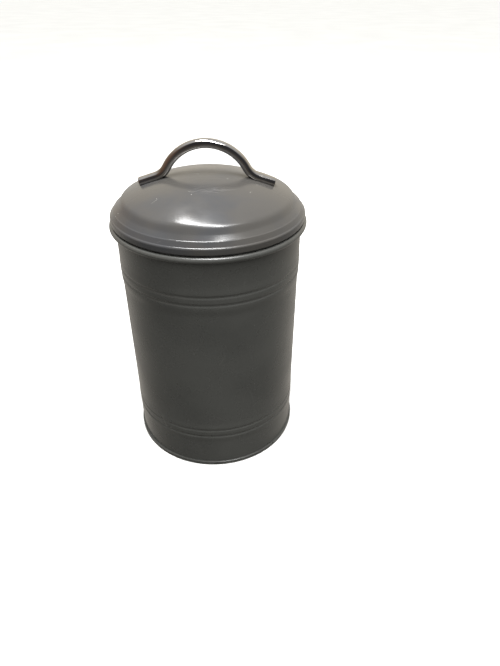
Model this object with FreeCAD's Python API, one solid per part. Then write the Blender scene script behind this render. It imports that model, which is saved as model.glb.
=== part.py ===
import FreeCAD, Part
import math
import os

# Round steel pet food bin with a lift-off domed lid and a bow handle.
# Millimetres, +Z up. The origin is on the bin's axis, on the surface that it stands on.
# The handle runs along X, and the wall's lap seam is at the back, on +Y.

# Bin wall, a rolled sheet
SHEET = 0.5
WALL_R = 53.5
RIM_R = 57.0
RIM_TOP = 152.65
CURL_R = 1.75
CURL_SWEEP = 290
LOWER_PAIR = {"height": 28.1, "swell": 0.2, "return": 0.2}
UPPER_PAIR = {"height": 125.9, "swell": 0.5, "return": 0.25}
GROOVE_PITCH = 5.0
GROOVE_ARC_R = 1.6
GROOVE_TILT = 27
SWELL_ARC_R = 22.0
LAP_WIDTH = 5.0
LAP_STEP = 0.35
HEM_HEIGHT = 2.05

# Base, a pan whose edge folds round the wall's hem
BASE_SHEET = 0.45
BASE_RISE = 3.0
BASE_CORNER_R = 1.0
PANEL_R = 38.0
PANEL_ARC_R = 2.0
PANEL_TILT = 25
FOLD_CORNER_R = 0.15
FIT = 0.02

# Lid, a pressed dome with a stepped edge
LID_SHEET = 0.6
LID_CROWN = 177.8
DOME_R = 104.5
DOME_EDGE_TILT = 26.5
SHOULDER_R = 6.5
FLANK_TILT = 54
FLANK = 2.2
COVE_R = 6.0
COVE_TILT = 44
STEP_R = 0.5
STEP_TILT = 22
LIP_R = 0.9
RISER = 2.6
RISER_TILT = 58
EDGE_R = 1.1
LID_RIM_R = 55.8
HEM_R = 0.8
FLANGE = 1.4

# Seal and plug ring under the lid
SEAL_THICK = 0.7
SEAL_LIFT = 0.12
SEAL_R = 55.2
PLUG_R = 52.9
PLUG_DEPTH = 9.5
PLUG_BEND_R = 0.4
PLUG_FLANGE_R = 54.9
LEAD_IN = (2.0, 25)

# Bow handle
BOW_R = 25.4
BOW_CENTRE_Z = 168.0
BEND_R = 12.0
FOOT_TILT = 18.0
FOOT_LENGTH = 9.6
BAR_DEPTH = 6.6
BAR_CROWN = 5.2
FOOT_DEPTH = 7.0
FOOT_BAR = 5.2
FOOT_RISE = 1.25

# M3 pan head screws and their washers
THREAD_R = 1.5
RUN_GAP = 0.03
LID_HOLE_R = 1.7
TAP_DEPTH = 2.1
TIP_GAP = 0.3
HEAD_R = 2.8
HEAD_HEIGHT = 2.2
HEAD_ROUND = 0.9
RECESS_SPAN = 3.2
RECESS_WIDTH = 0.7
RECESS_DEPTH = 1.3
WASHER_R = 3.5
WASHER_THICK = 0.5
WASHER_GAP = 0.08

AXIS = FreeCAD.Vector(0, 0, 1)
ACROSS = FreeCAD.Vector(0, 1, 0)
CENTRE = FreeCAD.Vector(0, 0, 0)

# Heights that follow from the sizes above
FOLD_BASE = BASE_SHEET + FOLD_CORNER_R
WALL_START = FOLD_BASE + FIT
DOME_CENTRE_Z = LID_CROWN - DOME_R
LID_BOTTOM = RIM_TOP + SEAL_LIFT + SEAL_THICK


def point(r, z):
    """Point of a section at radius r and height z."""
    return FreeCAD.Vector(r, 0, z)


def trace(start, heading, steps, shift=0.0):
    """Edges of an outline drawn step by step in the XZ plane.

    A step is a length, or an arc given as a radius and a turn in degrees, positive to
    the right. The edges run beside that outline, shift to its right."""
    angle = math.radians(heading)
    here = start + FreeCAD.Vector(math.sin(angle), 0, -math.cos(angle)) * shift
    edges = []
    for step in steps:
        ahead = FreeCAD.Vector(math.cos(angle), 0, math.sin(angle))
        right = FreeCAD.Vector(math.sin(angle), 0, -math.cos(angle))
        if isinstance(step, tuple):
            radius, turn = step
            side = math.copysign(1, turn)
            bend = radius - side * shift
            passed = [here]
            for part in (0.5, 1.0):
                sweep = math.radians(abs(turn)) * part
                across = right * (side * bend * (1 - math.cos(sweep)))
                passed.append(here + ahead * (bend * math.sin(sweep)) + across)
            edges.append(Part.Arc(*passed).toShape())
            angle -= math.radians(turn)
            here = passed[2]
        else:
            there = here + ahead * step
            edges.append(Part.makeLine(here, there))
            here = there
    return edges


def end_of(start, heading, steps):
    """Where an outline ends."""
    return trace(start, heading, steps)[-1].lastVertex().Point


def sheet(start, heading, steps, near, far, sweep=360):
    """Bent sheet turned about the bin's axis, between two lines beside one outline."""
    one = trace(start, heading, steps, near)
    two = trace(start, heading, steps, far)
    first = Part.makeLine(one[0].firstVertex().Point, two[0].firstVertex().Point)
    last = Part.makeLine(one[-1].lastVertex().Point, two[-1].lastVertex().Point)
    section = Part.Wire(Part.__sortEdges__(one + two + [first, last]))
    return Part.Face(section).revolve(CENTRE, AXIS, sweep)


def ring(inner, outer, low, high):
    """Plain ring between two radii and two heights."""
    tube = Part.makeCylinder(outer, high - low, point(0, low))
    return tube.cut(Part.makeCylinder(inner, high - low, point(0, low)))


def wall_swell(offset):
    """Gentle step of the wall, out (a positive offset) or back in, met on the way up."""
    tilt = math.degrees(math.acos(1 - abs(offset) / (2 * SWELL_ARC_R)))
    turn = math.copysign(tilt, offset)
    return [(SWELL_ARC_R, turn), (SWELL_ARC_R, -turn)]


def wall_groove():
    """One rolled groove, met on the way up the wall."""
    flank = (GROOVE_ARC_R, -GROOVE_TILT)
    return [flank, (GROOVE_ARC_R, 2 * GROOVE_TILT), flank]


def climb(steps):
    """Height that some steps climb along the wall."""
    return end_of(CENTRE, 90, steps).z


def groove_pair(pair):
    """Two grooves side by side in a slightly swollen band."""
    crest = GROOVE_PITCH - climb(wall_groove())
    grooves = wall_groove() + [crest] + wall_groove()
    return wall_swell(pair["swell"]) + grooves + wall_swell(-pair["return"])


def straight_to(pair, height):
    """Plain stretch of wall from a height to the swell under a pair of grooves."""
    below = climb(wall_swell(pair["swell"])) + GROOVE_PITCH / 2 + climb(wall_groove()) / 2
    return pair["height"] - below - height


def wall_steps():
    """Outer line of the wall, from its lower edge up to the rim curl."""
    start = point(WALL_R, WALL_START)
    steps = [straight_to(LOWER_PAIR, WALL_START)] + groove_pair(LOWER_PAIR)
    steps += [straight_to(UPPER_PAIR, end_of(start, 90, steps).z)] + groove_pair(UPPER_PAIR)
    here = end_of(start, 90, steps)
    flare = wall_swell(RIM_R - 2 * CURL_R + SHEET - here.x)
    return steps + [RIM_TOP - CURL_R - here.z - climb(flare)] + flare


def make_body_wall():
    """Wall with its rim curl, its lower hem and the lap seam down its back."""
    start = point(WALL_R, WALL_START)
    curl = (CURL_R - SHEET, CURL_SWEEP)
    wall = sheet(start, 90, wall_steps() + [curl], 0, -SHEET)
    hem = ring(WALL_R - SHEET / 2, WALL_R + SHEET, WALL_START, WALL_START + HEM_HEIGHT)
    sweep = math.degrees(LAP_WIDTH / WALL_R)
    above_hem = point(WALL_R, WALL_START + HEM_HEIGHT / 2)
    lap_steps = wall_steps()
    lap_steps[0] -= HEM_HEIGHT / 2
    lap = sheet(above_hem, 90, lap_steps, LAP_STEP, -SHEET / 2, sweep)
    lap.rotate(CENTRE, AXIS, 90 - sweep / 2)
    return wall.fuse([hem, lap])


def make_base_plate():
    """Pan with a raised panel, folded out flat and up round the wall's hem."""
    leg_r = WALL_R - SHEET - FIT
    top = BASE_RISE + BASE_SHEET
    bead = [(PANEL_ARC_R, PANEL_TILT), (PANEL_ARC_R, -PANEL_TILT)]
    bead_end = end_of(CENTRE, 0, bead)
    margin = leg_r - BASE_CORNER_R - PANEL_R - bead_end.x
    drop = top + bead_end.z - BASE_CORNER_R - FOLD_BASE
    corner = (FOLD_CORNER_R, -90)
    rest = 2 * (SHEET + FIT - FOLD_CORNER_R)
    steps = [PANEL_R] + bead + [margin, (BASE_CORNER_R, 90), drop]
    steps += [corner, rest, corner, HEM_HEIGHT]
    return sheet(point(0, top), 0, steps, 0, BASE_SHEET)


def seated(shape, side):
    """Shape made along +Z, moved onto the axis of one handle foot."""
    shape.rotate(CENTRE, ACROSS, side * FOOT_TILT)
    shape.translate(point(0, DOME_CENTRE_Z))
    return shape


def foot_hole(radius, low, high, side):
    """Cutter for a hole under one handle foot, between two distances from the dome's centre."""
    return seated(Part.makeCylinder(radius, high - low, point(0, low)), side)


def make_lid_shell():
    """Domed pressing with a cove, a stepped edge and a hem turned in under it."""
    crown = point(0, LID_CROWN)
    steps = [(DOME_R, DOME_EDGE_TILT), (SHOULDER_R, FLANK_TILT - DOME_EDGE_TILT), FLANK]
    steps += [(COVE_R, COVE_TILT - FLANK_TILT)]
    edge = [(STEP_R, STEP_TILT - COVE_TILT), (LIP_R, RISER_TILT - STEP_TILT), RISER]
    edge += [(STEP_R, STEP_TILT - RISER_TILT), (EDGE_R, 90 - STEP_TILT)]
    run = LID_RIM_R - end_of(CENTRE, -COVE_TILT, edge).x - end_of(crown, 0, steps).x
    steps += [run / math.cos(math.radians(COVE_TILT))] + edge
    skirt = end_of(crown, 0, steps).z - LID_BOTTOM - HEM_R
    steps += [skirt, (HEM_R, 90), FLANGE]
    shell = sheet(crown, 0, steps, 0, LID_SHEET)
    for side in (-1, 1):
        shell = shell.cut(foot_hole(LID_HOLE_R, DOME_R - 2, DOME_R + 2, side))
    return shell


def make_lid_plug_ring():
    """Strip whose flange the lid's hem holds, and which drops into the bin's mouth."""
    start = point(PLUG_FLANGE_R, LID_BOTTOM + LID_SHEET + FIT)
    flange = PLUG_FLANGE_R - PLUG_R - PLUG_BEND_R
    steps = [flange, (PLUG_BEND_R, -90), PLUG_DEPTH, LEAD_IN, SHEET]
    return sheet(start, 180, steps, 0, SHEET)


def make_seal_ring():
    """Flat soft ring between the lid's hem and the bin's rim."""
    return ring(PLUG_R + 4 * FIT, SEAL_R, LID_BOTTOM - SEAL_THICK, LID_BOTTOM)


def handle_stations():
    """Centre, normal angle, depth and thickness of the bar from its crown to one foot's end."""
    tilt = math.radians(FOOT_TILT)
    along = FreeCAD.Vector(math.cos(tilt), 0, -math.sin(tilt))
    normal = FreeCAD.Vector(math.sin(tilt), 0, math.cos(tilt))
    bow_centre = point(0, BOW_CENTRE_Z)
    foot = point(0, DOME_CENTRE_Z) + normal * (DOME_R + FOOT_RISE)
    height = (foot - bow_centre).dot(normal) + BEND_R
    reach = math.sqrt((BOW_R + BEND_R) ** 2 - height ** 2)
    bend_centre = bow_centre + along * reach + normal * height
    offset = bend_centre - bow_centre
    joint = math.atan2(offset.z, offset.x)
    foot_angle = math.pi / 2 - tilt
    bow_length = BOW_R * (math.pi / 2 - joint)
    bend_length = BEND_R * (foot_angle - joint)
    places = []
    for step in range(7):
        angle = math.pi / 2 + (joint - math.pi / 2) * step / 6
        spoke = point(math.cos(angle), math.sin(angle))
        places.append((bow_centre + spoke * BOW_R, angle, bow_length * step / 6))
    for step in range(1, 5):
        angle = joint + (foot_angle - joint) * step / 4
        spoke = point(math.cos(angle), math.sin(angle))
        places.append((bend_centre - spoke * BEND_R, angle, bow_length + bend_length * step / 4))
    last = places[-1]
    for step in range(1, 4):
        places.append((last[0] + along * (FOOT_LENGTH * step / 3), foot_angle, last[2]))
    stations = []
    for centre, angle, travel in places:
        share = (travel / last[2]) ** 2
        depth = BAR_DEPTH + (FOOT_DEPTH - BAR_DEPTH) * share
        thickness = BAR_CROWN + (FOOT_BAR - BAR_CROWN) * share
        stations.append((centre, angle, depth, thickness))
    return stations


def bar_section(centre, angle, depth, thickness):
    """Oval section of the handle's bar."""
    normal = point(math.cos(angle), math.sin(angle))
    wide = centre + ACROSS * (depth / 2)
    high = centre + normal * (thickness / 2)
    return Part.Wire(Part.Ellipse(wide, high, centre).toShape())


def make_handle():
    """Bow bar lofted from foot to foot, seated on the dome and tapped for its screws."""
    right = handle_stations()
    left = []
    for centre, angle, depth, thickness in reversed(right[1:]):
        left.append((point(-centre.x, centre.z), math.pi - angle, depth, thickness))
    bar = Part.makeLoft([bar_section(*station) for station in left + right], True)
    bar = bar.cut(Part.makeSphere(DOME_R, point(0, DOME_CENTRE_Z)))
    for side in (-1, 1):
        bar = bar.cut(foot_hole(THREAD_R, DOME_R - 2, DOME_R + TAP_DEPTH, side))
    return bar


def make_screw(side):
    """Pan head screw with a cross recess, up through the lid into a handle foot."""
    seat = DOME_R - LID_SHEET - WASHER_GAP - WASHER_THICK
    tip = DOME_R + TAP_DEPTH - TIP_GAP
    root = seat - HEAD_HEIGHT / 2
    shank = Part.makeCylinder(THREAD_R - RUN_GAP, tip - root, point(0, root))
    head = Part.makeCylinder(HEAD_R, HEAD_HEIGHT, point(0, seat - HEAD_HEIGHT))
    outer = [edge for edge in head.Edges if edge.BoundBox.ZMax < root]
    head = head.makeFillet(HEAD_ROUND, outer)
    screw = head.fuse(shank)
    for width, depth in ((RECESS_SPAN, RECESS_WIDTH), (RECESS_WIDTH, RECESS_SPAN)):
        corner = FreeCAD.Vector(-width / 2, -depth / 2, seat - HEAD_HEIGHT)
        screw = screw.cut(Part.makeBox(width, depth, RECESS_DEPTH, corner))
    return seated(screw, side)


def make_washer(side):
    """Flat washer between a screw head and the inside of the dome."""
    top = DOME_R - LID_SHEET - WASHER_GAP
    return seated(ring(LID_HOLE_R, WASHER_R, top - WASHER_THICK, top), side)


nodes = {
    "body_wall": make_body_wall(),
    "base_plate": make_base_plate(),
    "lid_shell": make_lid_shell(),
    "lid_plug_ring": make_lid_plug_ring(),
    "seal_ring": make_seal_ring(),
    "handle": make_handle(),
}
for name, side in (("left", -1), ("right", 1)):
    nodes["handle_screw_" + name] = make_screw(side)
    nodes["handle_washer_" + name] = make_washer(side)

os.makedirs("parts", exist_ok=True)
for node, shape in nodes.items():
    shape.exportStep("parts/" + node + ".step")
    print(node, len(shape.Solids), shape.isValid(), round(shape.Volume, 1))
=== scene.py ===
"""Looks of a small round steel pet food bin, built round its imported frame.

Everything is in metres, in the frame's own axes: +Z up, X along the handle and the
wall's lap seam at the back, on +Y."""

import math

import bmesh
import bpy
from mathutils import Matrix, Vector, noise


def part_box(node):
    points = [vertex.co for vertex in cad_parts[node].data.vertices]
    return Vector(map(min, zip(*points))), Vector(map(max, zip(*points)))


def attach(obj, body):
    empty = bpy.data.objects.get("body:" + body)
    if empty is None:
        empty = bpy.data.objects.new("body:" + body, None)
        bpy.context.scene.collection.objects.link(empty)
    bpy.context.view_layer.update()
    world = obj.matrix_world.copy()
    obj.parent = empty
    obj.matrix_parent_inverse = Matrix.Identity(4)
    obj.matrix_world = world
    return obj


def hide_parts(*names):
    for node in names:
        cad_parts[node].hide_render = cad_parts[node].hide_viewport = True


MM = 0.001

# Camera: a phone held above and in front, looking down at the bin
CAMERA_AT = (24.35 * MM, -285.4 * MM, 267.5 * MM)
CAMERA_PITCH = 34.81
CAMERA_ROLL = 0.25
CAMERA_LENS = 27.8
CAMERA_FILM = 36.0
CAMERA_NEAR = 10 * MM

# Sheet metal
WALL_SHEET = 0.5 * MM
BASE_SHEET = 0.45 * MM
LID_SHEET = 0.6 * MM
FIT = 0.02 * MM

# Bin wall
WALL_R = 53.5 * MM
RIM_R = 57.0 * MM
CURL_R = 1.75 * MM
CURL_SWEEP = 290
LOWER_PAIR = {"height": 28.1 * MM, "swell": 0.2 * MM, "return": 0.2 * MM}
UPPER_PAIR = {"height": 125.9 * MM, "swell": 0.5 * MM, "return": 0.25 * MM}
GROOVE_PITCH = 5.0 * MM
GROOVE_ARC_R = 1.6 * MM
GROOVE_TILT = 27
SWELL_ARC_R = 22.0 * MM
HEM_HEIGHT = 2.05 * MM
LAP_WIDTH = 5.0 * MM
LAP_STEP = 0.35 * MM
LAP_AZIMUTH = 90
WELD_PITCH = 14.0 * MM
WELD_R = 1.5 * MM
WELD_DEPTH = 0.16 * MM
LAP_EASE = 0.2
HEM_ROUND = 0.15 * MM

# Slow waves of thin pressed sheet, each with the stretch over which it fades out
WALL_WAVE = 34 * MM
WALL_UNEVEN = 0.07 * MM
WALL_FREE_ABOVE = 14 * MM
WALL_FADE_UNDER_RIM = (5 * MM, 14 * MM)
LID_WAVE = 23 * MM
LID_UNEVEN = 0.05 * MM
LID_FADE_R = (42 * MM, 50 * MM)
FEET_FADE = (9 * MM, 16 * MM)
PAN_WAVE = 28 * MM
PAN_UNEVEN = 0.12 * MM
PAN_FADE_START = 30 * MM

# Base pan
BASE_CORNER_R = 1.0 * MM
FOLD_CORNER_R = 0.15 * MM
PANEL_R = 38.0 * MM
PANEL_ARC_R = 2.0 * MM
PANEL_TILT = 25
PAN_EDGE_BULGE = 0.3

# Lid
DOME_R = 104.5 * MM
DOME_EDGE_TILT = 26.5
SHOULDER_R = 6.5 * MM
FLANK_TILT = 54
FLANK = 2.2 * MM
COVE_R = 6.0 * MM
COVE_TILT = 44
STEP_R = 0.5 * MM
STEP_TILT = 22
LIP_R = 0.9 * MM
RISER = 2.6 * MM
RISER_TILT = 58
EDGE_R = 1.1 * MM
LID_RIM_R = 55.8 * MM
HEM_R = 0.8 * MM
FLANGE = 1.4 * MM

# Seal and plug ring
SEAL_R = 55.2 * MM
SEAL_ROUND = 0.2 * MM
PLUG_R = 52.9 * MM
PLUG_DEPTH = 9.5 * MM
PLUG_BEND_R = 0.4 * MM
PLUG_FLANGE_R = 54.9 * MM
LEAD_IN = (2.0 * MM, 25)

# Handle
BOW_R = 25.4 * MM
BOW_CENTRE_Z = 168.0 * MM
BEND_R = 12.0 * MM
FOOT_TILT = 18.0
FOOT_LENGTH = 9.6 * MM
BAR_DEPTH = 6.6 * MM
BAR_CROWN = 5.2 * MM
FOOT_DEPTH = 7.0 * MM
FOOT_BAR = 5.2 * MM
FOOT_RISE = 1.25 * MM
FOOT_AT = 33 * MM
END_ROUND = 0.45 * MM

# Screws and washers
THREAD_R = 1.5 * MM
THREAD_PITCH = 0.5 * MM
THREAD_CUT = 0.25 * MM
THREAD_START = 0.2
THREAD_CREST = 0.5
RUN_GAP = 0.03 * MM
LID_HOLE_R = 1.7 * MM
TAP_DEPTH = 2.1 * MM
HOLE_PAST = 2 * MM
TIP_GAP = 0.3 * MM
HEAD_R = 2.8 * MM
HEAD_HEIGHT = 2.2 * MM
HEAD_ROUND = 0.9 * MM
RECESS_SPAN = 3.2 * MM
RECESS_WIDTH = 0.7 * MM
RECESS_DEPTH = 1.3 * MM
RECESS_PAST = 0.3 * MM
RECESS_MOUTH = 1.06
RECESS_FLOOR = 0.45
WASHER_R = 3.5 * MM
WASHER_THICK = 0.5 * MM
WASHER_GAP = 0.08 * MM
WASHER_CHAMFER = 0.1 * MM

# Lights: brightness of the faces of the softbox and the window, and of the even light
SOFTBOX_TOWARD = (-0.04, -0.035, 0.99)
SOFTBOX_SIZE = (0.90, 0.17)
SOFTBOX_RADIANCE = 58.0
WINDOW_TOWARD = (0.28, -0.29, 0.92)
WINDOW_SIZE = (0.40, 0.14)
WINDOW_RADIANCE = 14.0
LIGHTS_AWAY = 1.0
EVEN_LIGHT = 1.4
EVEN_TILT = (28, 10)
EVEN_SPREAD = 60

# Surroundings, as colours
FRONT = (0.05, 0.05, 0.055, 1)
BACK = (0.90, 0.82, 0.68, 1)
LEFT = (0.22, 0.13, 0.085, 1)
OVERHEAD = (0.80, 0.80, 0.81, 1)
GROUND_FRONT = (0.09, 0.08, 0.07, 1)
GROUND_BACK = (0.62, 0.58, 0.52, 1)
FILL_ABOVE = (1.00, 1.00, 0.97, 1)
FILL_BELOW = (0.18, 0.18, 0.17, 1)
BACKDROP = (0.95, 0.95, 0.94, 1)
FLOOR_R = 12
FLOOR_SIDES = 96

# Mesh fineness
ARC_STEP = 6.0
LINE_STEP = 1.5 * MM
TURNS = 256
FINE_TURNS = 48
BAR_TURNS = 40
BOW_PARTS = 30
BEND_PARTS = 14
FOOT_PARTS = 12
END_PARTS = 3
LAP_COLUMN = 0.2
LAP_MARGIN = 1
SHARP_ANGLE = 35
ON_AXIS = 0.0001 * MM

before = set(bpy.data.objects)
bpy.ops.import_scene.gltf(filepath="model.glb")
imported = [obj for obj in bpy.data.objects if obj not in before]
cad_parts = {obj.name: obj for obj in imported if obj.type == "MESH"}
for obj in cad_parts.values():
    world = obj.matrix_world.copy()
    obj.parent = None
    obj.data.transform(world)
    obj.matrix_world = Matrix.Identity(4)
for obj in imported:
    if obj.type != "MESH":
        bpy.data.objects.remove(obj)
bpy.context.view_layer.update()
RIM_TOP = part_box("body_wall")[1].z
BASE_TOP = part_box("base_plate")[1].z
LID_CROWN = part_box("lid_shell")[1].z
LID_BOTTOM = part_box("lid_shell")[0].z
SEAL_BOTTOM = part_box("seal_ring")[0].z
DOME_CENTRE = Vector((0, 0, LID_CROWN - DOME_R))
FOLD_BASE = BASE_SHEET + FOLD_CORNER_R
WALL_START = FOLD_BASE + FIT


# Sections, drawn as radius and height, and turned about the bin's axis

def outline(start, heading, steps, shift=0.0):
    """Points of an outline drawn step by step.

    A step is a length, or an arc given as a radius and a turn in degrees, positive to
    the right. The points run beside that outline, shift to its right."""
    angle = math.radians(heading)
    here = Vector(start) + Vector((math.sin(angle), -math.cos(angle))) * shift
    points = [here]
    for step in steps:
        ahead = Vector((math.cos(angle), math.sin(angle)))
        right = Vector((math.sin(angle), -math.cos(angle)))
        if isinstance(step, tuple):
            radius, turn = step
            side = math.copysign(1, turn)
            bend = radius - side * shift
            count = max(math.ceil(abs(turn) / ARC_STEP), 1)
            count = max(count, math.ceil(bend * math.radians(abs(turn)) / LINE_STEP))
            for part in range(1, count + 1):
                sweep = math.radians(abs(turn)) * part / count
                across = right * (side * bend * (1 - math.cos(sweep)))
                points.append(here + ahead * (bend * math.sin(sweep)) + across)
            angle -= math.radians(turn)
        else:
            count = max(math.ceil(step / LINE_STEP), 1)
            points += [here + ahead * (step * part / count) for part in range(1, count + 1)]
        here = points[-1]
    return points


def end_of(start, heading, steps):
    """Where an outline ends."""
    return outline(start, heading, steps)[-1]


def angles_round(count, fine=()):
    """Azimuths in degrees for the columns of a turned mesh, with some finer stretches."""
    azimuths = {round(360 * step / count, 4) for step in range(count)}
    for low, high, step in fine:
        azimuths = {angle for angle in azimuths if not low < angle < high}
        parts = math.ceil((high - low) / step)
        azimuths |= {round(low + (high - low) * part / parts, 4) for part in range(parts + 1)}
    return sorted(azimuths)


def turned_mesh(name, loop, azimuths, push=None):
    """Mesh of a closed section turned about the Z axis.

    Where push is given, it says how far out each point moves, from its index in the
    section, its azimuth in degrees and its place."""
    mesh = bmesh.new()
    on_axis = {}
    columns = []
    for azimuth in azimuths:
        out = Vector((math.cos(math.radians(azimuth)), math.sin(math.radians(azimuth)), 0))
        column = []
        for index, (radius, height) in enumerate(loop):
            if radius > ON_AXIS:
                place = out * radius + Vector((0, 0, height))
                if push:
                    place += out * push(index, azimuth, place)
                column.append(mesh.verts.new(place))
            else:
                if index not in on_axis:
                    on_axis[index] = mesh.verts.new((0, 0, height))
                column.append(on_axis[index])
        columns.append(column)
    for first, second in zip(columns, columns[1:] + columns[:1]):
        for index in range(len(loop)):
            after = (index + 1) % len(loop)
            corners = [first[index], second[index], second[after], first[after]]
            face = list(dict.fromkeys(corners))
            if len(face) > 2:
                mesh.faces.new(face)
    return finished(name, mesh)


def finished(name, mesh):
    """Object made from a bmesh, facing outwards, smooth but for its sharp edges."""
    bmesh.ops.recalc_face_normals(mesh, faces=mesh.faces)
    data = bpy.data.meshes.new(name)
    mesh.to_mesh(data)
    mesh.free()
    data.shade_smooth()
    data.set_sharp_from_angle(angle=math.radians(SHARP_ANGLE))
    piece = bpy.data.objects.new(name, data)
    bpy.context.scene.collection.objects.link(piece)
    return piece


def moved(piece, matrix):
    """The piece's mesh moved, so that its object stays at the origin."""
    piece.data.transform(matrix)
    return piece


def cut(piece, cutters):
    """The piece with other closed pieces taken out of it."""
    for cutter in cutters:
        step = piece.modifiers.new("cut", "BOOLEAN")
        step.operation = "DIFFERENCE"
        step.solver = "EXACT"
        step.object = cutter
    bpy.context.view_layer.update()
    evaluated = piece.evaluated_get(bpy.context.evaluated_depsgraph_get())
    shaped = bpy.data.meshes.new_from_object(evaluated)
    piece.modifiers.clear()
    piece.data = shaped
    shaped.set_sharp_from_angle(angle=math.radians(SHARP_ANGLE))
    for cutter in cutters:
        bpy.data.objects.remove(cutter)
    return piece


def show(piece, body, node, material):
    """The piece stands for a CAD node, moves with its body and takes its material."""
    piece.data.materials.clear()
    piece.data.materials.append(material)
    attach(piece, body)
    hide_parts(node)


# Bin

def wall_swell(offset):
    """Gentle step of the wall, out (a positive offset) or back in, met on the way up."""
    tilt = math.degrees(math.acos(1 - abs(offset) / (2 * SWELL_ARC_R)))
    turn = math.copysign(tilt, offset)
    return [(SWELL_ARC_R, turn), (SWELL_ARC_R, -turn)]


def wall_groove():
    """One rolled groove, met on the way up the wall."""
    flank = (GROOVE_ARC_R, -GROOVE_TILT)
    return [flank, (GROOVE_ARC_R, 2 * GROOVE_TILT), flank]


def climb(steps):
    """Height that some steps climb along the wall."""
    return end_of((0, 0), 90, steps).y


def groove_pair(pair):
    """Two grooves side by side in a slightly swollen band."""
    crest = GROOVE_PITCH - climb(wall_groove())
    grooves = wall_groove() + [crest] + wall_groove()
    return wall_swell(pair["swell"]) + grooves + wall_swell(-pair["return"])


def straight_to(pair, height):
    """Plain stretch of wall from a height to the swell under a pair of grooves."""
    below = climb(wall_swell(pair["swell"])) + GROOVE_PITCH / 2 + climb(wall_groove()) / 2
    return pair["height"] - below - height


def wall_steps():
    """Outer line of the wall, from its lower edge up to the rim curl."""
    start = (WALL_R, WALL_START)
    steps = [straight_to(LOWER_PAIR, WALL_START)] + groove_pair(LOWER_PAIR)
    steps += [straight_to(UPPER_PAIR, end_of(start, 90, steps).y)] + groove_pair(UPPER_PAIR)
    here = end_of(start, 90, steps)
    flare = wall_swell(RIM_R - 2 * CURL_R + WALL_SHEET - here.x)
    return steps + [RIM_TOP - CURL_R - here.y - climb(flare)] + flare


def smooth_share(value, low, high):
    """0 at low, 1 at high, and eased between them."""
    share = min(max((value - low) / (high - low), 0), 1)
    return share * share * (3 - 2 * share)


def make_body_wall():
    """Wall with its grooves, rim curl, lower hem, lap seam and spot welds."""
    start = (WALL_R, WALL_START)
    curl = (CURL_R - WALL_SHEET, CURL_SWEEP)
    outer = outline(start, 90, wall_steps() + [curl])
    inner = outline(start, 90, wall_steps() + [curl], -WALL_SHEET)
    hem_top = WALL_START + HEM_HEIGHT
    hem_r = WALL_R + WALL_SHEET
    hem = [(hem_r - HEM_ROUND, WALL_START), (hem_r, WALL_START + HEM_ROUND)]
    hem += [(hem_r, hem_top - HEM_ROUND), (hem_r - HEM_ROUND, hem_top), (WALL_R, hem_top)]
    above = [place for place in outer if place.y > hem_top + HEM_ROUND]
    loop = [Vector(place) for place in hem] + above + inner[::-1]
    half_lap = math.degrees(LAP_WIDTH / WALL_R) / 2

    def push(index, azimuth, place):
        free = smooth_share(place.z, hem_top, WALL_FREE_ABOVE)
        free *= smooth_share(RIM_TOP - place.z, *WALL_FADE_UNDER_RIM)
        move = noise.noise(place / WALL_WAVE) * WALL_UNEVEN * free
        on_outside = len(hem) <= index < len(hem) + len(above) and place.z < RIM_TOP - 2 * CURL_R
        if on_outside:
            move += lap_move(abs(azimuth - LAP_AZIMUTH), place.z, half_lap)
        return move

    beside = half_lap + LAP_MARGIN
    near_lap = (LAP_AZIMUTH - beside, LAP_AZIMUTH + beside, LAP_COLUMN)
    return turned_mesh("bin_wall", loop, angles_round(TURNS, [near_lap]), push)


def lap_move(beside, height, half_lap):
    """How far the lap seam stands out of the wall, with its pressed spot welds."""
    step = LAP_STEP * smooth_share(half_lap + LAP_EASE - beside, 0, 2 * LAP_EASE)
    along = (height + WELD_PITCH / 2) % WELD_PITCH - WELD_PITCH / 2
    from_weld = math.hypot(along, math.radians(beside) * WALL_R)
    return step - WELD_DEPTH * smooth_share(WELD_R - from_weld, 0, WELD_R / 2)


def make_base_pan():
    """Pan with a raised panel, folded out flat and up round the wall's hem."""
    leg_r = WALL_R - WALL_SHEET - FIT
    bead = [(PANEL_ARC_R, PANEL_TILT), (PANEL_ARC_R, -PANEL_TILT)]
    bead_end = end_of((0, 0), 0, bead)
    margin = leg_r - BASE_CORNER_R - PANEL_R - bead_end.x
    drop = BASE_TOP + bead_end.y - BASE_CORNER_R - FOLD_BASE
    corner = (FOLD_CORNER_R, -90)
    rest = 2 * (WALL_SHEET + FIT - FOLD_CORNER_R)
    steps = [PANEL_R] + bead + [margin, (BASE_CORNER_R, 90), drop]
    steps += [corner, rest, corner, HEM_HEIGHT]
    top = outline((0, BASE_TOP), 0, steps)
    under = outline((0, BASE_TOP), 0, steps, BASE_SHEET)
    edge = [(top[-1] + under[-1]) / 2 + Vector((0, BASE_SHEET * PAN_EDGE_BULGE))]
    piece = turned_mesh("base_pan", top + edge + under[::-1], angles_round(TURNS))
    for vertex in piece.data.vertices:
        inside = 1 - smooth_share(math.hypot(vertex.co.x, vertex.co.y), PAN_FADE_START, PANEL_R)
        vertex.co.z += noise.noise(vertex.co / PAN_WAVE) * PAN_UNEVEN * inside
    return piece


# Lid

def seated(piece, side):
    """Piece made along +Z, moved onto the axis of one handle foot."""
    turn = Matrix.Rotation(math.radians(side * FOOT_TILT), 4, "Y")
    return moved(piece, Matrix.Translation(DOME_CENTRE) @ turn)


def rod(name, radius, low, high, side):
    """Cutter along the axis of one handle foot, between two distances from the dome's centre."""
    loop = [Vector(place) for place in ((0, low), (radius, low), (radius, high), (0, high))]
    return seated(turned_mesh(name, loop, angles_round(FINE_TURNS)), side)


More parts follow.
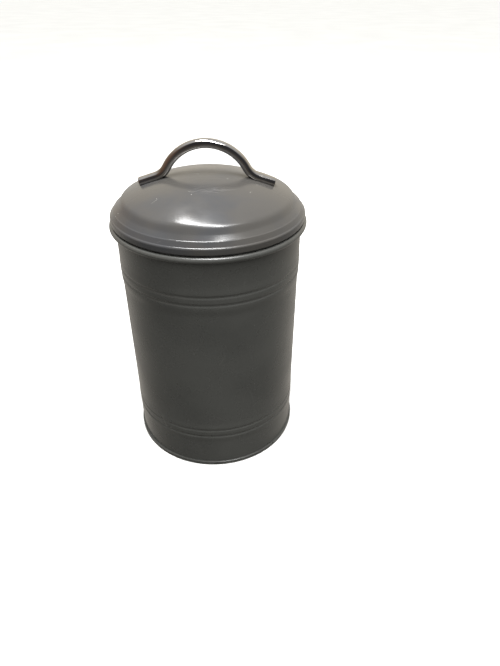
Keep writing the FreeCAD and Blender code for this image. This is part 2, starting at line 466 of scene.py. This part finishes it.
def lid_steps():
    """Outer line of the lid, from its crown to the end of the hem turned in under it."""
    crown = (0, LID_CROWN)
    steps = [(DOME_R, DOME_EDGE_TILT), (SHOULDER_R, FLANK_TILT - DOME_EDGE_TILT), FLANK]
    steps += [(COVE_R, COVE_TILT - FLANK_TILT)]
    edge = [(STEP_R, STEP_TILT - COVE_TILT), (LIP_R, RISER_TILT - STEP_TILT), RISER]
    edge += [(STEP_R, STEP_TILT - RISER_TILT), (EDGE_R, 90 - STEP_TILT)]
    run = LID_RIM_R - end_of((0, 0), -COVE_TILT, edge).x - end_of(crown, 0, steps).x
    steps += [run / math.cos(math.radians(COVE_TILT))] + edge
    skirt = end_of(crown, 0, steps).y - LID_BOTTOM - HEM_R
    return steps + [skirt, (HEM_R, 90), FLANGE]


def make_lid_dome():
    """Domed pressing, slightly uneven, with its two screw holes."""
    outer = outline((0, LID_CROWN), 0, lid_steps())
    inner = outline((0, LID_CROWN), 0, lid_steps(), LID_SHEET)
    piece = turned_mesh("lid_dome", outer + inner[::-1], angles_round(TURNS))
    for vertex in piece.data.vertices:
        radius = math.hypot(vertex.co.x, vertex.co.y)
        free = 1 - smooth_share(radius, *LID_FADE_R)
        from_foot = abs(abs(vertex.co.x) - FOOT_AT) + abs(vertex.co.y)
        wave = noise.noise(Vector((vertex.co.x, vertex.co.y, 0)) / LID_WAVE) * LID_UNEVEN
        vertex.co.z += wave * free * smooth_share(from_foot, *FEET_FADE)
    ends = (DOME_R - HOLE_PAST, DOME_R + HOLE_PAST)
    return cut(piece, [rod("hole", LID_HOLE_R, *ends, side) for side in (-1, 1)])


def make_plug_ring():
    """Strip under the lid, held by its flange, that drops into the bin's mouth."""
    start = (PLUG_FLANGE_R, LID_BOTTOM + LID_SHEET + FIT)
    flange = PLUG_FLANGE_R - PLUG_R - PLUG_BEND_R
    steps = [flange, (PLUG_BEND_R, -90), PLUG_DEPTH, LEAD_IN, WALL_SHEET]
    loop = outline(start, 180, steps) + outline(start, 180, steps, WALL_SHEET)[::-1]
    return turned_mesh("plug_ring", loop, angles_round(TURNS))


def make_seal():
    """Flat soft ring with rounded edges between the lid's hem and the rim."""
    inner = PLUG_R + 4 * FIT
    width = SEAL_R - inner - 2 * SEAL_ROUND
    height = LID_BOTTOM - SEAL_BOTTOM - 2 * SEAL_ROUND
    corner = (SEAL_ROUND, 90)
    steps = [width, corner, height, corner, width, corner, height, corner]
    loop = outline((inner + SEAL_ROUND, LID_BOTTOM), 0, steps)[:-1]
    return turned_mesh("lid_seal", loop, angles_round(TURNS))


def handle_places():
    """Centre, normal angle and travel of the bar from its crown to one foot's end."""
    tilt = math.radians(FOOT_TILT)
    along = Vector((math.cos(tilt), 0, -math.sin(tilt)))
    normal = Vector((math.sin(tilt), 0, math.cos(tilt)))
    bow_centre = Vector((0, 0, BOW_CENTRE_Z))
    foot = DOME_CENTRE + normal * (DOME_R + FOOT_RISE)
    height = (foot - bow_centre).dot(normal) + BEND_R
    reach = math.sqrt((BOW_R + BEND_R) ** 2 - height ** 2)
    bend_centre = bow_centre + along * reach + normal * height
    offset = bend_centre - bow_centre
    joint = math.atan2(offset.z, offset.x)
    foot_angle = math.pi / 2 - tilt
    bow_length = BOW_R * (math.pi / 2 - joint)
    bend_length = BEND_R * (foot_angle - joint)
    places = []
    for step in range(BOW_PARTS + 1):
        angle = math.pi / 2 + (joint - math.pi / 2) * step / BOW_PARTS
        spoke = Vector((math.cos(angle), 0, math.sin(angle)))
        places.append((bow_centre + spoke * BOW_R, angle, bow_length * step / BOW_PARTS))
    for step in range(1, BEND_PARTS + 1):
        angle = joint + (foot_angle - joint) * step / BEND_PARTS
        spoke = Vector((math.cos(angle), 0, math.sin(angle)))
        travel = bow_length + bend_length * step / BEND_PARTS
        places.append((bend_centre - spoke * BEND_R, angle, travel))
    centre, angle, travel = places[-1]
    for step in range(1, FOOT_PARTS + 1):
        length = (FOOT_LENGTH - END_ROUND) * step / FOOT_PARTS
        places.append((centre + along * length, angle, travel))
    return places, along


def bar_ring(mesh, centre, angle, share, inset):
    """One oval ring of the handle's bar, flattened where it meets the dome."""
    depth = (BAR_DEPTH + (FOOT_DEPTH - BAR_DEPTH) * share) / 2 - inset
    thickness = (BAR_CROWN + (FOOT_BAR - BAR_CROWN) * share) / 2 - inset
    normal = Vector((math.cos(angle), 0, math.sin(angle)))
    ring = []
    for step in range(BAR_TURNS):
        turn = math.tau * step / BAR_TURNS
        across = Vector((0, depth * math.cos(turn), 0))
        place = centre + across + normal * (thickness * math.sin(turn))
        from_dome = place - DOME_CENTRE
        if from_dome.length < DOME_R + FIT:
            place = DOME_CENTRE + from_dome.normalized() * (DOME_R + FIT)
        ring.append(mesh.verts.new(place))
    return ring


def make_handle_bar():
    """Bow bar with rounded square-cut feet that sit on the dome, tapped for its screws."""
    places, along = handle_places()
    length = places[-1][2]
    stations = [(centre, angle, (travel / length) ** 2, 0.0) for centre, angle, travel in places]
    centre, angle, _ = places[-1]
    for part in range(1, END_PARTS + 1):
        turn = math.radians(90 * part / END_PARTS)
        forward = along * (END_ROUND * math.sin(turn))
        stations.append((centre + forward, angle, 1.0, END_ROUND * (1 - math.cos(turn))))
    left = [(Vector((-at.x, 0, at.z)), math.pi - angle, share, inset)
            for at, angle, share, inset in stations[:0:-1]]
    mesh = bmesh.new()
    rings = [bar_ring(mesh, *station) for station in left + stations]
    for first, second in zip(rings, rings[1:]):
        for index in range(BAR_TURNS):
            after = (index + 1) % BAR_TURNS
            mesh.faces.new((first[index], first[after], second[after], second[index]))
    mesh.faces.new(rings[0])
    mesh.faces.new(rings[-1][::-1])
    ends = (DOME_R - HOLE_PAST, DOME_R + TAP_DEPTH)
    holes = [rod("tap", THREAD_R, *ends, side) for side in (-1, 1)]
    return cut(finished("handle_bar", mesh), holes)


def make_screw(name, side):
    """Pan head screw with a cross recess and a cut thread."""
    seat = DOME_R - LID_SHEET - WASHER_GAP - WASHER_THICK
    tip = DOME_R + TAP_DEPTH - TIP_GAP
    crest = THREAD_R - RUN_GAP
    root = crest - THREAD_CUT
    head = [(0, seat - HEAD_HEIGHT)]
    flat = HEAD_R - HEAD_ROUND
    head += outline((flat, seat - HEAD_HEIGHT), 0, [(HEAD_ROUND, -90), HEAD_HEIGHT - HEAD_ROUND])
    loop = head + [(root, seat)]
    threads = int((tip - seat - THREAD_PITCH) / THREAD_PITCH)
    for turn in range(threads):
        low = seat + THREAD_PITCH * turn
        loop += [(root, low + THREAD_START * THREAD_PITCH), (crest, low + THREAD_CREST * THREAD_PITCH)]
    loop += [(root, tip), (0, tip)]
    piece = turned_mesh(name, [Vector(place) for place in loop], angles_round(FINE_TURNS))
    cutters = [cross_bar(seat - HEAD_HEIGHT, quarter) for quarter in (0, 90)]
    return seated(cut(piece, cutters), side)


def cross_bar(low, quarter):
    """Tapered bar that cuts one arm of a screw's cross recess."""
    mesh = bmesh.new()
    corners = []
    for depth, span in ((-RECESS_PAST, RECESS_MOUTH), (RECESS_DEPTH, RECESS_FLOOR)):
        for x, y in ((-1, -1), (1, -1), (1, 1), (-1, 1)):
            half_span = RECESS_SPAN / 2 * span
            corners.append(mesh.verts.new((x * half_span, y * RECESS_WIDTH / 2, low + depth)))
    mesh.faces.new(corners[:4])
    mesh.faces.new(corners[4:])
    for index in range(4):
        after = (index + 1) % 4
        mesh.faces.new((corners[index], corners[after], corners[after + 4], corners[index + 4]))
    piece = finished("cross_bar", mesh)
    return moved(piece, Matrix.Rotation(math.radians(quarter), 4, "Z"))


def make_washer(name, side):
    """Flat washer with chamfered edges."""
    top = DOME_R - LID_SHEET - WASHER_GAP
    low = top - WASHER_THICK
    bevel = WASHER_CHAMFER
    loop = [(LID_HOLE_R, low + bevel), (LID_HOLE_R + bevel, low), (WASHER_R - bevel, low)]
    loop += [(WASHER_R, low + bevel), (WASHER_R, top - bevel), (WASHER_R - bevel, top)]
    loop += [(LID_HOLE_R + bevel, top), (LID_HOLE_R, top - bevel)]
    piece = turned_mesh(name, [Vector(place) for place in loop], angles_round(FINE_TURNS))
    return seated(piece, side)


# Materials

def add(tree, kind, inputs=None, **settings):
    """Adds a node with its settings, and a value or a link for each input named."""
    node = tree.nodes.new(kind)
    for key, value in settings.items():
        setattr(node, key, value)
    for key, value in (inputs or {}).items():
        if isinstance(value, bpy.types.NodeSocket):
            tree.links.new(value, node.inputs[key])
        else:
            node.inputs[key].default_value = value
    return node


def noise_at(tree, feature, detail=2.0, stretch=(1, 1, 1)):
    """Noise fixed to the piece, with features of a given size."""
    place = add(tree, "ShaderNodeTexCoord").outputs["Object"]
    place = add(tree, "ShaderNodeMapping", {"Vector": place, "Scale": stretch}).outputs[0]
    inputs = {"Vector": place, "Scale": 1 / feature, "Detail": detail}
    return add(tree, "ShaderNodeTexNoise", inputs).outputs["Fac"]


def fit(tree, value, low, high, to_low=0.0, to_high=1.0):
    """A value mapped smoothly from one range to another."""
    inputs = {"Value": value, "From Min": low, "From Max": high, "To Min": to_low, "To Max": to_high}
    return add(tree, "ShaderNodeMapRange", inputs, interpolation_type="SMOOTHSTEP").outputs[0]


def maths(tree, operation, one, two):
    """A sum, product or other function of two values."""
    return add(tree, "ShaderNodeMath", {0: one, 1: two}, operation=operation).outputs[0]


def mix_colour(tree, share, one, two):
    """A colour between two others."""
    return add(tree, "ShaderNodeMix", {0: share, 6: one, 7: two}, data_type="RGBA").outputs[2]


def raise_surface(tree, height, distance, normal=None):
    """Bump of a given depth, on top of another where one is given."""
    inputs = {"Height": height, "Distance": distance}
    if normal:
        inputs["Normal"] = normal
    return add(tree, "ShaderNodeBump", inputs).outputs["Normal"]


def specks(tree, spacing, size, share):
    """1 on sparse small round specks and 0 elsewhere."""
    place = add(tree, "ShaderNodeTexCoord").outputs["Object"]
    cells = add(tree, "ShaderNodeTexVoronoi", {"Vector": place, "Scale": 1 / spacing})
    near = fit(tree, cells.outputs["Distance"], 0.6 * size / spacing, size / spacing, 1, 0)
    kind = add(tree, "ShaderNodeSeparateColor", {"Color": cells.outputs["Color"]}).outputs[0]
    chosen = fit(tree, kind, 1 - share, 1 - share + 0.01)
    return maths(tree, "MULTIPLY", near, chosen)


def hairlines(tree, feature, width, stretch, share):
    """1 along faint broken hairline scratches and 0 elsewhere."""
    wander = noise_at(tree, feature, 1.0, stretch)
    off_line = maths(tree, "ABSOLUTE", maths(tree, "SUBTRACT", wander, 0.5), 0)
    line = fit(tree, off_line, 0, width, 1, 0)
    broken = fit(tree, noise_at(tree, feature * 0.7, 2.0), 1 - share, 1.05 - share)
    return maths(tree, "MULTIPLY", line, broken)


def new_material(name, **values):
    """Material whose shader has these uniform values, with its node tree."""
    material = bpy.data.materials.new(name)
    material.use_nodes = True
    shader = material.node_tree.nodes["Principled BSDF"]
    for key, value in values.items():
        shader.inputs[key.replace("_", " ")].default_value = value
    return material, material.node_tree, shader


def set_shader(tree, shader, colour, roughness, normal):
    """Links a shader's colour, roughness and normal."""
    tree.links.new(colour, shader.inputs["Base Color"])
    tree.links.new(roughness, shader.inputs["Roughness"])
    tree.links.new(normal, shader.inputs["Normal"])


def satin_coat():
    """Satin dark grey powder coat of the bin, with its fine orange peel and faint rubs."""
    material, tree, shader = new_material("satin_grey_coat", IOR=1.6)
    tone = fit(tree, noise_at(tree, 40 * MM, 3.0), 0.35, 0.65)
    grain = fit(tree, noise_at(tree, 0.35 * MM, 2.0), 0.3, 0.7, 0, 0.35)
    colour = mix_colour(tree, tone, (0.047, 0.048, 0.045, 1), (0.058, 0.059, 0.055, 1))
    colour = mix_colour(tree, grain, colour, (0.075, 0.075, 0.07, 1))
    dust = specks(tree, 7 * MM, 0.25 * MM, 0.16)
    colour = mix_colour(tree, maths(tree, "MULTIPLY", dust, 0.5), colour, (0.30, 0.29, 0.27, 1))
    rub = hairlines(tree, 30 * MM, 0.004, (1, 1, 0.25), 0.45)
    colour = mix_colour(tree, maths(tree, "MULTIPLY", rub, 0.25), colour, (0.11, 0.11, 0.1, 1))
    smudge = fit(tree, noise_at(tree, 18 * MM, 4.0), 0.3, 0.7, 0.24, 0.32)
    roughness = maths(tree, "ADD", smudge, maths(tree, "MULTIPLY", dust, 0.2))
    peel = raise_surface(tree, noise_at(tree, 1.1 * MM, 2.0), 0.02 * MM)
    normal = raise_surface(tree, noise_at(tree, 0.25 * MM, 1.0), 0.004 * MM, peel)
    set_shader(tree, shader, colour, roughness, normal)
    return material


def gloss_coat():
    """Glossier coat of the lid, with handling smudges, dust specks and light scratches."""
    material, tree, shader = new_material("gloss_grey_coat", IOR=1.47)
    tone = fit(tree, noise_at(tree, 30 * MM, 3.0), 0.35, 0.65)
    colour = mix_colour(tree, tone, (0.044, 0.045, 0.048, 1), (0.056, 0.053, 0.049, 1))
    dust = specks(tree, 6 * MM, 0.3 * MM, 0.2)
    lint = hairlines(tree, 16 * MM, 0.006, (1, 1, 1), 0.34)
    marks = maths(tree, "MAXIMUM", dust, maths(tree, "MULTIPLY", lint, 0.5))
    colour = mix_colour(tree, maths(tree, "MULTIPLY", marks, 0.6), colour, (0.45, 0.43, 0.4, 1))
    smudge = fit(tree, noise_at(tree, 14 * MM, 4.0), 0.35, 0.7, 0.17, 0.25)
    roughness = maths(tree, "ADD", smudge, maths(tree, "MULTIPLY", marks, 0.3))
    peel = raise_surface(tree, noise_at(tree, 2.2 * MM, 2.0), 0.012 * MM)
    normal = raise_surface(tree, marks, 0.02 * MM, peel)
    set_shader(tree, shader, colour, roughness, normal)
    return material


def bright_chrome():
    """Polished chrome plating with faint wiping marks and a little haze."""
    material, tree, shader = new_material("bright_chrome", Metallic=1.0)
    haze = fit(tree, noise_at(tree, 9 * MM, 4.0), 0.35, 0.75)
    colour = mix_colour(tree, haze, (0.50, 0.49, 0.48, 1), (0.40, 0.38, 0.35, 1))
    wiped = hairlines(tree, 5 * MM, 0.01, (0.3, 1, 1), 0.6)
    smudge = fit(tree, haze, 0, 1, 0.06, 0.13)
    roughness = maths(tree, "ADD", smudge, maths(tree, "MULTIPLY", wiped, 0.12))
    normal = raise_surface(tree, noise_at(tree, 3 * MM, 2.0), 0.012 * MM)
    set_shader(tree, shader, colour, roughness, normal)
    return material


def black_rubber():
    """Matt black moulded seal, slightly greyed by dust."""
    material, tree, shader = new_material("black_rubber", IOR=1.45)
    bloom = fit(tree, noise_at(tree, 6 * MM, 4.0), 0.4, 0.75)
    colour = mix_colour(tree, bloom, (0.012, 0.012, 0.012, 1), (0.03, 0.03, 0.029, 1))
    roughness = fit(tree, bloom, 0, 1, 0.55, 0.75)
    normal = raise_surface(tree, noise_at(tree, 0.4 * MM, 3.0), 0.02 * MM)
    set_shader(tree, shader, colour, roughness, normal)
    return material


def zinc_plate():
    """Bright zinc plating of the screws and washers, brushed and slightly dulled."""
    material, tree, shader = new_material("zinc_plate", Metallic=1.0)
    dull = fit(tree, noise_at(tree, 1.5 * MM, 4.0), 0.35, 0.7)
    colour = mix_colour(tree, dull, (0.62, 0.63, 0.65, 1), (0.45, 0.46, 0.47, 1))
    roughness = fit(tree, dull, 0, 1, 0.22, 0.42)
    brushed = noise_at(tree, 0.5 * MM, 2.0, (1, 8, 1))
    normal = raise_surface(tree, brushed, 0.01 * MM)
    set_shader(tree, shader, colour, roughness, normal)
    return material


# Studio

def set_camera():
    """Camera above and in front of the bin."""
    data = bpy.data.cameras.new("camera")
    data.sensor_width = CAMERA_FILM
    data.lens = CAMERA_LENS
    data.clip_start = CAMERA_NEAR
    camera = bpy.data.objects.new("camera", data)
    down = Matrix.Rotation(math.radians(90 - CAMERA_PITCH), 4, "X")
    roll = Matrix.Rotation(math.radians(CAMERA_ROLL), 4, "Z")
    camera.matrix_world = Matrix.Translation(CAMERA_AT) @ down @ roll
    bpy.context.scene.collection.objects.link(camera)
    bpy.context.scene.camera = camera


def add_softbox(name, toward, size, radiance):
    """Oval light facing the lid's crown, from a given direction, size and brightness."""
    target = Vector((0, 0, LID_CROWN))
    centre = target + Vector(toward).normalized() * LIGHTS_AWAY
    data = bpy.data.lights.new(name, "AREA")
    data.shape = "ELLIPSE"
    data.size, data.size_y = size
    data.energy = radiance * math.pi * (math.pi / 4 * size[0] * size[1])
    light = bpy.data.objects.new(name, data)
    facing = (target - centre).to_track_quat("-Z", "Y").to_matrix().to_4x4()
    light.matrix_world = Matrix.Translation(centre) @ facing
    bpy.context.scene.collection.objects.link(light)


def add_even_light():
    """Broad even light, tilted about X and Y, that keeps the floor pale; no reflections."""
    data = bpy.data.lights.new("even_light", "SUN")
    data.energy = EVEN_LIGHT
    data.angle = math.radians(EVEN_SPREAD)
    light = bpy.data.objects.new("even_light", data)
    light.rotation_euler = (math.radians(EVEN_TILT[0]), math.radians(EVEN_TILT[1]), 0)
    light.visible_glossy = False
    bpy.context.scene.collection.objects.link(light)


def set_world():
    """Soft surroundings: dark in front, brown on the left, warm behind, pale overhead."""
    world = bpy.data.worlds.new("studio")
    world.use_nodes = True
    tree = world.node_tree
    toward = add(tree, "ShaderNodeTexCoord").outputs["Generated"]
    across, deep, up = add(tree, "ShaderNodeSeparateXYZ", {0: toward}).outputs
    behind = fit(tree, deep, -0.4, 0.8)
    beside = fit(tree, across, -0.85, -0.35, 0.8, 0)
    above = fit(tree, up, 0.4, 0.95)
    above = maths(tree, "MULTIPLY", above, fit(tree, deep, -0.35, -0.05))
    below = fit(tree, up, -0.1, 0.1, 1, 0)
    colour = mix_colour(tree, behind, FRONT, BACK)
    colour = mix_colour(tree, beside, colour, LEFT)
    colour = mix_colour(tree, above, colour, OVERHEAD)
    ground = mix_colour(tree, behind, GROUND_FRONT, GROUND_BACK)
    colour = mix_colour(tree, below, colour, ground)
    rays = add(tree, "ShaderNodeLightPath").outputs
    fill = mix_colour(tree, below, FILL_ABOVE, FILL_BELOW)
    colour = mix_colour(tree, rays["Is Diffuse Ray"], colour, fill)
    colour = mix_colour(tree, rays["Is Camera Ray"], colour, BACKDROP)
    tree.links.new(colour, tree.nodes["Background"].inputs["Color"])
    bpy.context.scene.world = world


def make_floor():
    """Pale, faintly mottled round floor."""
    mesh = bmesh.new()
    bmesh.ops.create_circle(mesh, cap_ends=True, segments=FLOOR_SIDES, radius=FLOOR_R)
    floor = finished("floor", mesh)
    floor.visible_glossy = False
    floor.visible_diffuse = False
    material, tree, shader = new_material("pale_floor")
    tone = fit(tree, noise_at(tree, 0.2, 4.0), 0.3, 0.7)
    colour = mix_colour(tree, tone, (0.72, 0.72, 0.71, 1), (0.76, 0.76, 0.75, 1))
    roughness = fit(tree, tone, 0, 1, 0.75, 0.85)
    normal = raise_surface(tree, noise_at(tree, 1.5 * MM, 2.0), 0.05 * MM)
    set_shader(tree, shader, colour, roughness, normal)
    floor.data.materials.append(material)


# Put together

set_camera()
add_softbox("softbox", SOFTBOX_TOWARD, SOFTBOX_SIZE, SOFTBOX_RADIANCE)
add_softbox("window", WINDOW_TOWARD, WINDOW_SIZE, WINDOW_RADIANCE)
add_even_light()
set_world()
make_floor()
bpy.context.scene.view_settings.view_transform = "Standard"

body_coat = satin_coat()
lid_coat = gloss_coat()
chrome = bright_chrome()
rubber = black_rubber()
zinc = zinc_plate()
show(make_body_wall(), "bin", "body_wall", body_coat)
show(make_base_pan(), "bin", "base_plate", body_coat)
show(make_lid_dome(), "lid", "lid_shell", lid_coat)
show(make_plug_ring(), "lid", "lid_plug_ring", lid_coat)
show(make_seal(), "lid", "seal_ring", rubber)
show(make_handle_bar(), "lid", "handle", chrome)
for word, side in (("left", -1), ("right", 1)):
    screw = make_screw("screw_" + word, side)
    show(screw, "lid", "handle_screw_" + word, zinc)
    washer = make_washer("washer_" + word, side)
    show(washer, "lid", "handle_washer_" + word, zinc)
